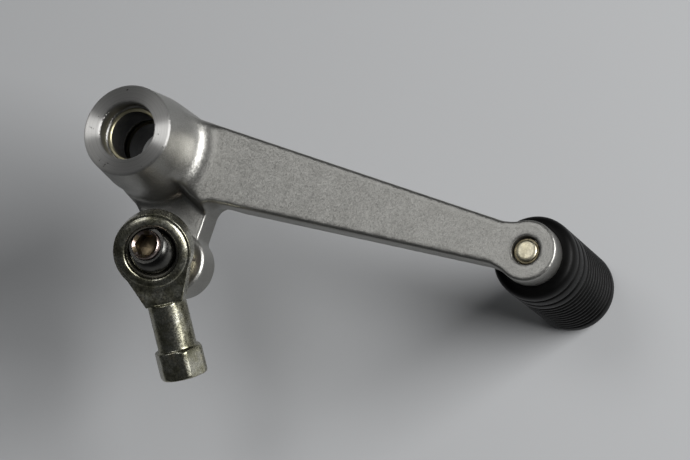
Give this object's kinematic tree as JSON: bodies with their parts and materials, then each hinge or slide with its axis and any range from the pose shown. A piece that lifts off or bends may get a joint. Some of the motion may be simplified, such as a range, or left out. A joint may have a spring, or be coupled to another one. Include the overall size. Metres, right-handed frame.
{
  "type": "gear shift lever",
  "caption": "Foot lever for changing gear: pivot boss with bushes, tapered arm with ribbed rubber toe peg, and stub arm with a ball-jointed rod end.",
  "frame": {"origin": "on the pivot axis, at the middle of the pivot boss", "axes": "+Z along the pivot axis, towards the side where the linkage rod runs; +X from the pivot to the toe peg; the stub arm points to -Y; the toe peg points to -Z"},
  "size_m": [0.1249, 0.0671, 0.0594],
  "materials": {
    "forged_aluminium": "satin, fine tumbled grain, with turned end faces on the boss",
    "bush_bronze": "smooth, dull",
    "zinc_steel": "yellowish zinc plate",
    "black_rubber": "moulded, semi-matte",
    "stud_steel": "bare steel with a faint oxide tint",
    "ball_steel": "polished dark steel",
    "liner_plastic": "matte",
    "race_steel": "smooth turned steel",
    "passivated_steel": "glossy yellow-green zinc passivation"
  },
  "bodies": {
    "lever": {"lever_body": "forged_aluminium", "pivot_bush_front": "bush_bronze", "pivot_bush_rear": "bush_bronze", "toe_peg_spindle": "zinc_steel", "peg_rivet_washer": "zinc_steel", "toe_peg_rubber": "black_rubber", "ball_stud": "stud_steel", "stud_spring_washer": "zinc_steel"},
    "ball": {"stud_ball": "ball_steel"},
    "race": {"rod_end_race": "race_steel", "rod_end_liner": "liner_plastic"},
    "rod_end": {"rod_end_housing": "passivated_steel"}
  },
  "joints": [
    {"name": "ball_turn", "type": "hinge", "parent": "lever", "child": "ball", "pos_m": [0.01383, -0.02526, 0.0062], "axis": [0, 0, 1], "range_deg": [-40, 35]},
    {"name": "rod_end_tilt", "type": "hinge", "parent": "ball", "child": "race", "pos_m": [0.01383, -0.02526, 0.0062], "axis": [-0.7118, -0.7024, 0], "range_deg": [-1, 58]},
    {"name": "rod_end_swing", "type": "hinge", "parent": "race", "child": "rod_end", "pos_m": [0.01383, -0.02526, 0.0062], "axis": [0.3403, -0.3448, 0.8748], "range_deg": [-40, 35]}
  ]
}
